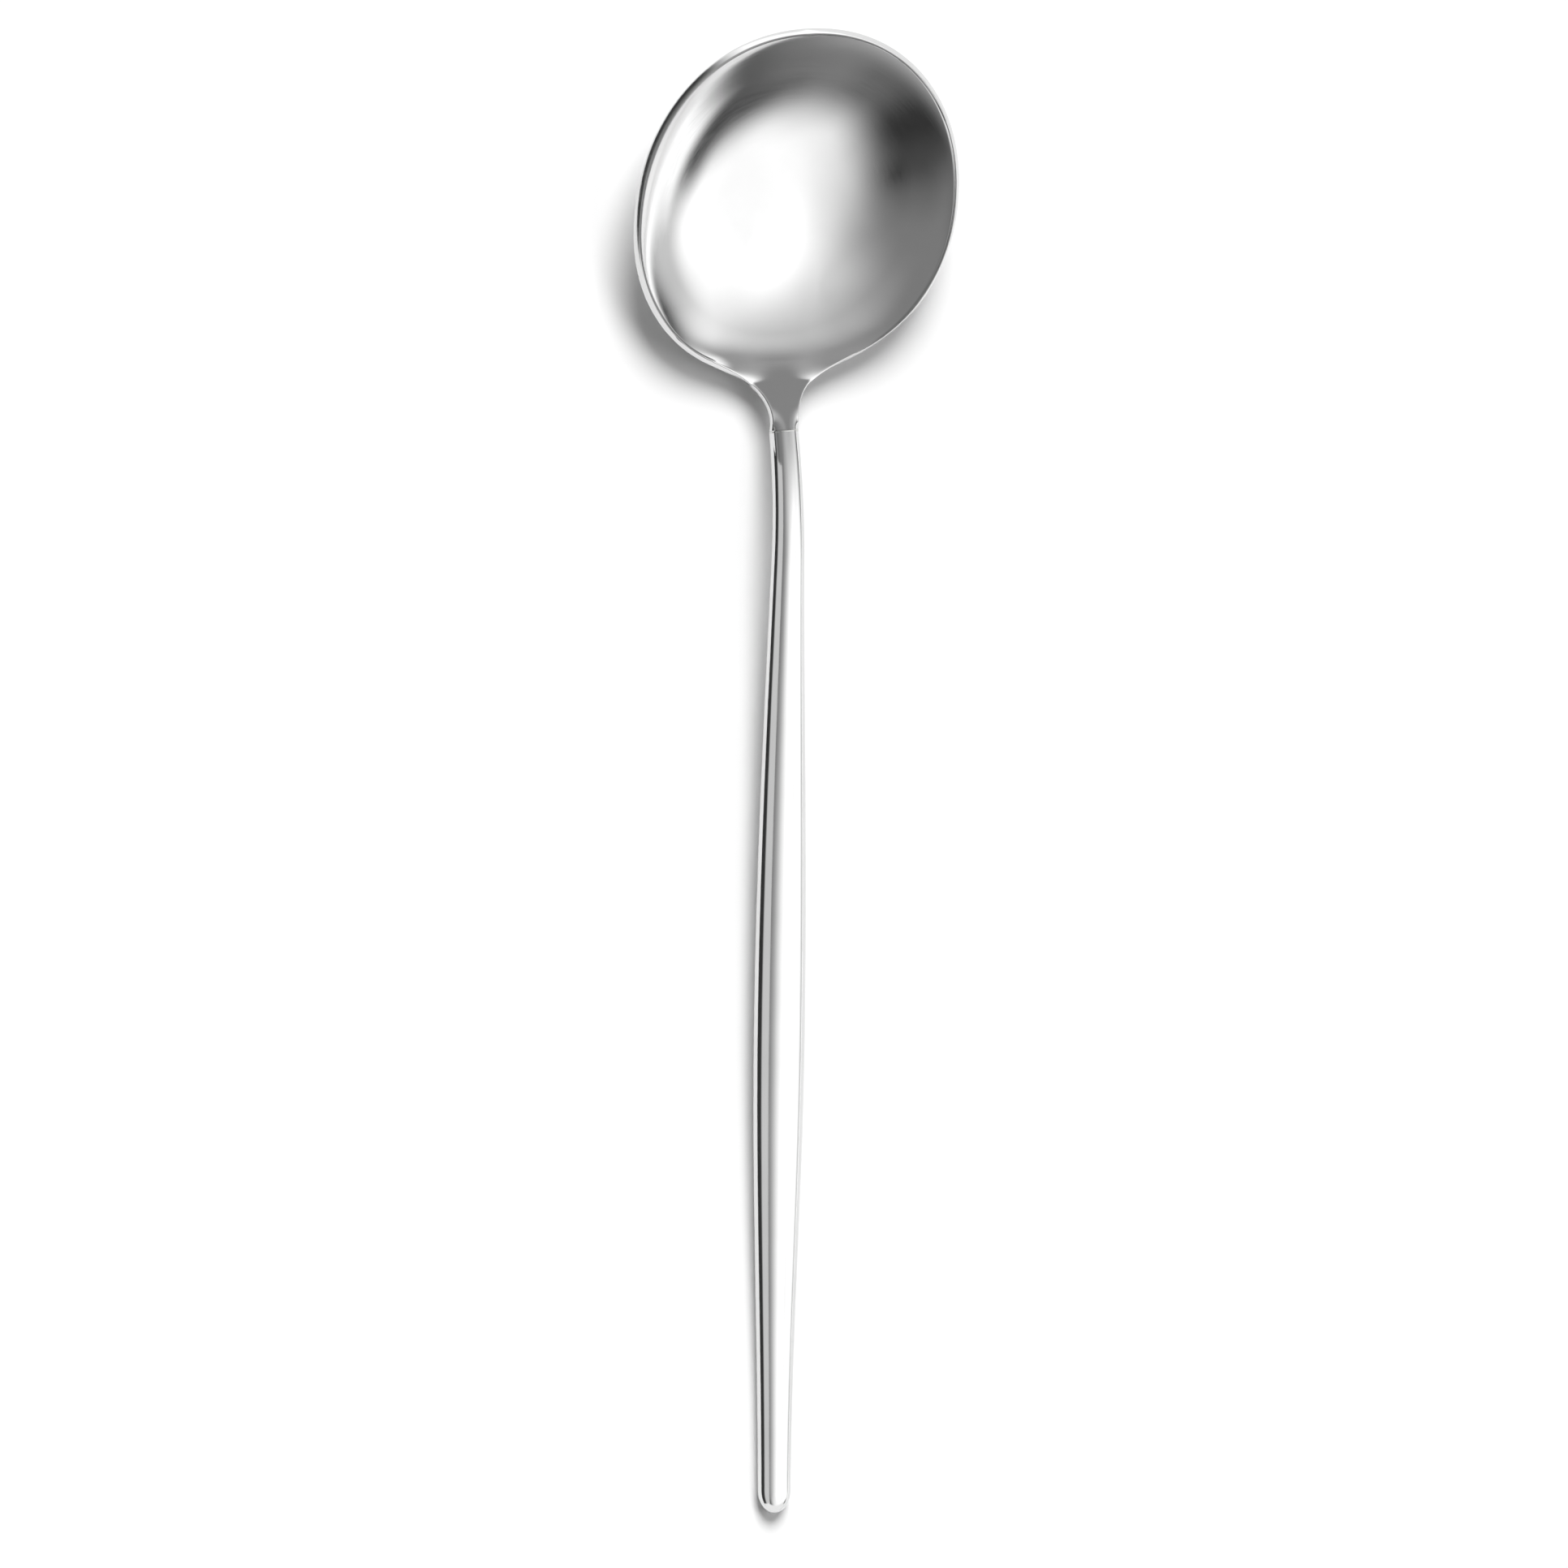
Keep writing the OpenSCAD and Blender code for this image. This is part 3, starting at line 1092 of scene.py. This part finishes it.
@dataclass
class Studio:
    """The white table, the lights that the steel mirrors, the lamps and the camera."""

    # Each light covers the ones before it, so a flag comes after what it darkens.
    lights: Sequence[Light] = field(
        default_factory=lambda: (
            Disc("ceiling", 153, 75, 1.2, 37, 56),
            Disc("softbox", 98, 41, 2.4, 15, 51),
            Band("front_wall", 130, 40, 1.37, 30, 19, 46, 16),
            Band("left_wall", 275, 49, 0.26, 75, 27, 77, 50),
            Band("table_edge_flag", 168, 6.4, 0.05, 51, 7, 15, 10),
            Disc("camera_side_flag", 204, 29, 0.04, 2, 27),
            Disc("camera_side_flag_top", 217, 43, 0.0, -6, 19),
            Disc("back_wall", 22, 22, 0.4, 32, 85),
            Disc("back_wall_flag", 34, 50, 0.31, 6, 20),
            Band("far_left_strip", 231, 5.6, 1.6, 35, 12, 140, 26),
            Disc("right_flag", 88, 6, 0.0, -6, 30),
            Band("table_glow", 97, -1, 1.6, 38, 5.4, 22, 6),
            Band("left_horizon_flag", 282, 0, 0.04, 50, 14, 36, 14),
            Band("front_strip", 25, 4, 1.5, 45, 14, 30, 14),
        )
    )
    brightest: float = 2.4
    card_sides: int = 144
    card_reach: float = 0.015
    card_start: float = -0.115
    card_end: float = 0.042
    card_centre: Vector = field(default_factory=lambda: Vector((-0.0034, 0, 0.0038)))
    card_top: float = 64.0
    card_dark: float = 0.04
    card_level: float = 0.75
    card_fade: tuple[float, float] = (0.0085, 0.0115)
    tip_card_place: tuple[float, float, float] = (0.004, -0.112, 0.007)
    tip_card_size: tuple[float, float] = (0.034, 0.014)
    tip_card_level: float = 1.1
    floor_size: float = 8.0
    floor_colour: float = 0.8
    floor_glow: float = 0.06
    ambient: float = 0.15
    lamps: Sequence[Lamp] = (
        Lamp("front_lamp", 355, 44, 30, 4.2),
        Lamp("right_lamp", 85, 62, 34, 0.6),
    )
    view_right: Vector = field(default_factory=lambda: Vector((0.9294, 0.001, 0.3691)))
    view_up: Vector = field(default_factory=lambda: Vector((0.0568, 0.9877, -0.1457)))
    view_target: Vector = field(default_factory=lambda: Vector((0.00003, -0.00186, 0.00469)))
    view_width: float = 0.2018
    view_distance: float = 8.0
    view_end: float = 100.0
    sensor: float = 36.0

    def build_world(self) -> None:
        """Builds the world: the lights for what the steel mirrors, and plain white for the rest."""
        world = bpy.data.worlds.new("studio")
        bpy.context.scene.world = world
        world.use_nodes = True
        graph = Graph(world.node_tree)
        towards = graph.add("ShaderNodeTexCoord").outputs["Generated"]
        level: object = 0.0
        for light in self.lights:
            level = graph.mix(light.share(graph, towards), level, light.level)
            LOG.info("%s: level %.2f", light.name, light.level)
        level = graph.math("MINIMUM", level, self.brightest)
        path = graph.add("ShaderNodeLightPath")
        plain = graph.mix(path.outputs["Is Camera Ray"], self.ambient, 1.0)
        strength = graph.mix(path.outputs["Is Glossy Ray"], plain, level)
        background = {"Color": (1, 1, 1, 1), "Strength": strength}
        surface = graph.add("ShaderNodeBackground", background).outputs[0]
        graph.show(surface, "ShaderNodeOutputWorld")

    def finish_card(self, card: bpy.types.Object, name: str, dark: float, level: float) -> None:
        """Gives a card its glow and keeps it for the steel alone, out of all other light.

        Args:
            card: The card.
            name: Its name.
            dark: How strongly it glows at the bottom.
            level: How strongly it glows at the top.
        """
        material, graph = new_material(name)
        place = graph.add("ShaderNodeTexCoord").outputs["Object"]
        height = graph.add("ShaderNodeSeparateXYZ", {0: place}).outputs[2]
        glow = {"Strength": graph.ramp(height, *self.card_fade, dark, level)}
        graph.show(graph.add("ShaderNodeEmission", glow).outputs[0])
        card.name = name
        card.data.materials.append(material)
        card.visible_camera = False
        card.visible_diffuse = False
        card.visible_shadow = False
        LOG.info("%s: %d faces", name, len(card.data.polygons))

    def build_tip_card(self) -> None:
        """Stands a small white card behind the tip of the handle."""
        wide, high = self.tip_card_size
        bpy.ops.object.select_all(action="DESELECT")
        upright = (math.pi / 2, 0, 0)
        bpy.ops.mesh.primitive_plane_add(size=1, location=self.tip_card_place, rotation=upright)
        card = bpy.context.object
        card.scale = (wide, high, 1)
        settle(card)
        self.finish_card(card, "tip_card", self.tip_card_level, self.tip_card_level)

    def build_card(self) -> None:
        """Bends a card along the left of the handle, dark at the handle's height and light over it."""
        bpy.ops.object.select_all(action="DESELECT")
        middle = self.card_centre + Vector((0, (self.card_start + self.card_end) / 2, 0))
        bpy.ops.mesh.primitive_cylinder_add(
            vertices=self.card_sides,
            radius=self.card_reach,
            depth=self.card_end - self.card_start,
            end_fill_type="NOTHING",
            location=middle,
            rotation=(math.pi / 2, 0, 0),
        )
        card = bpy.context.object
        settle(card)
        top = middle.z + self.card_reach * math.sin(math.radians(self.card_top))
        with editing(card) as mesh:
            select_faces(mesh, lambda face: self.is_off_card(face.calc_center_median(), top))
            bpy.ops.mesh.delete(type="FACE")
        self.finish_card(card, "graded_card", self.card_dark, self.card_level)

    def is_off_card(self, place: Vector, top: float) -> bool:
        """Whether a place on the round lies right of the card, under the table or over its top."""
        return place.x > self.card_centre.x or not 0 < place.z < top

    def build_floor(self) -> None:
        """Lays the white table, which keeps the spoon's shadow."""
        material, graph = new_material("white_table")
        paint = {"Color": (self.floor_colour,) * 3 + (1,)}
        path = graph.add("ShaderNodeLightPath")
        seen = graph.math("MAXIMUM", path.outputs["Is Camera Ray"], path.outputs["Is Glossy Ray"])
        glow = {"Strength": graph.math("MULTIPLY", seen, self.floor_glow)}
        both = {
            0: graph.add("ShaderNodeBsdfDiffuse", paint).outputs[0],
            1: graph.add("ShaderNodeEmission", glow).outputs[0],
        }
        graph.show(graph.add("ShaderNodeAddShader", both).outputs[0])
        bpy.ops.object.select_all(action="DESELECT")
        bpy.ops.mesh.primitive_plane_add(size=self.floor_size)
        floor = bpy.context.object
        floor.name = "table_top"
        floor.data.materials.append(material)
        LOG.info("table_top: %.1f m wide", self.floor_size)

    def build_lamp(self, lamp: Lamp) -> None:
        """Hangs a broad lamp, which lights the table and which the steel doesn't mirror.

        Args:
            lamp: Its place, spread and strength.
        """
        towards = direction(lamp.azimuth, lamp.elevation)
        bpy.ops.object.select_all(action="DESELECT")
        bpy.ops.object.light_add(type="SUN", location=towards)
        sun = bpy.context.object
        sun.name = lamp.name
        sun.rotation_euler = towards.to_track_quat("Z", "Y").to_euler()
        sun.data.energy = lamp.strength
        sun.data.angle = math.radians(lamp.spread)
        sun.visible_glossy = False
        LOG.info("%s: strength %.2f", lamp.name, lamp.strength)

    def build_camera(self) -> None:
        """Stands the camera where the photograph was taken from."""
        right = self.view_right.normalized()
        up = (self.view_up - right * self.view_up.dot(right)).normalized()
        back = right.cross(up)
        bpy.ops.object.camera_add()
        camera = bpy.context.object
        camera.name = "camera"
        camera.data.type = "PERSP"
        camera.data.sensor_width = self.sensor
        camera.data.lens = self.sensor * self.view_distance / self.view_width
        camera.data.clip_end = self.view_end
        turned = Matrix((right, up, back)).transposed().to_4x4()
        camera.matrix_world = Matrix.Translation(self.view_target + back * self.view_distance) @ turned
        bpy.context.scene.camera = camera
        LOG.info("camera: %.0f mm lens", camera.data.lens)

    def build(self) -> None:
        """Builds the whole studio."""
        self.build_world()
        self.build_card()
        self.build_tip_card()
        self.build_floor()
        for lamp in self.lamps:
            self.build_lamp(lamp)
        self.build_camera()
        bpy.context.scene.view_settings.view_transform = "Standard"


def main() -> None:
    """Loads the frame, builds each piece in order and then the studio, and logs what each step made.
    """
    logging.basicConfig(level=logging.INFO, format="%(name)s: %(message)s")
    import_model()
    form = SpoonForm()
    lift = form.find_lift()
    bowl_steel = BuffedMetal("buffed_steel_bowl", STEEL_COLOUR, Buffing.ROUND_THE_BOWL)
    bar_steel = BuffedMetal("buffed_steel_bar", STEEL_COLOUR, Buffing.LENGTHWISE)
    solder = BuffedMetal("silver_solder", SOLDER_COLOUR, Buffing.LENGTHWISE, SOLDER_ROUGHNESS)
    Bowl(form, lift).build(bowl_steel.build())
    Handle(form, lift).build(bar_steel.build())
    SolderSeam(form, lift).build(solder.build())
    Studio().build()


if __name__ == "__main__":
    main()
